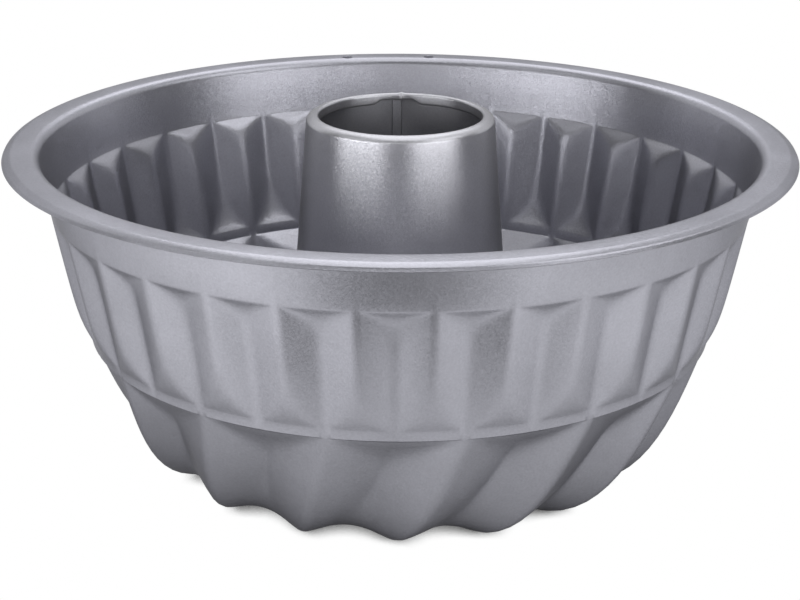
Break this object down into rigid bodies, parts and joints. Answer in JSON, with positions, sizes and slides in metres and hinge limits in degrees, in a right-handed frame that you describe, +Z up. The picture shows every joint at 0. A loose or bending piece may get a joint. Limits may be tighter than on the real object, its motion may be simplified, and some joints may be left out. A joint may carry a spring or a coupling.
{
  "type": "fluted tube pan",
  "caption": "Round fluted cake pan with a flat flange, straight flutes over twisted flutes, and a hollow centre tube that shapes a ring cake.",
  "frame": {"origin": "middle of the flat ring that the pan stands on, in the plane of its underside", "axes": "+Z up along the tube's axis; the pan's front, with an upper valley in its middle, faces -Y; the hanging holes are at the +Y side of the flange"},
  "size_m": [0.24, 0.24, 0.11],
  "materials": {
    "bowl_coat": "satin silver-grey non-stick coat with a fine metal flake, on deep-drawn steel",
    "tube_coat": "satin silver-grey non-stick coat with a fine metal flake, on rolled and seamed steel"
  },
  "bodies": {
    "root": {"fluted_bowl": "bowl_coat", "centre_tube": "tube_coat"}
  },
  "joints": []
}
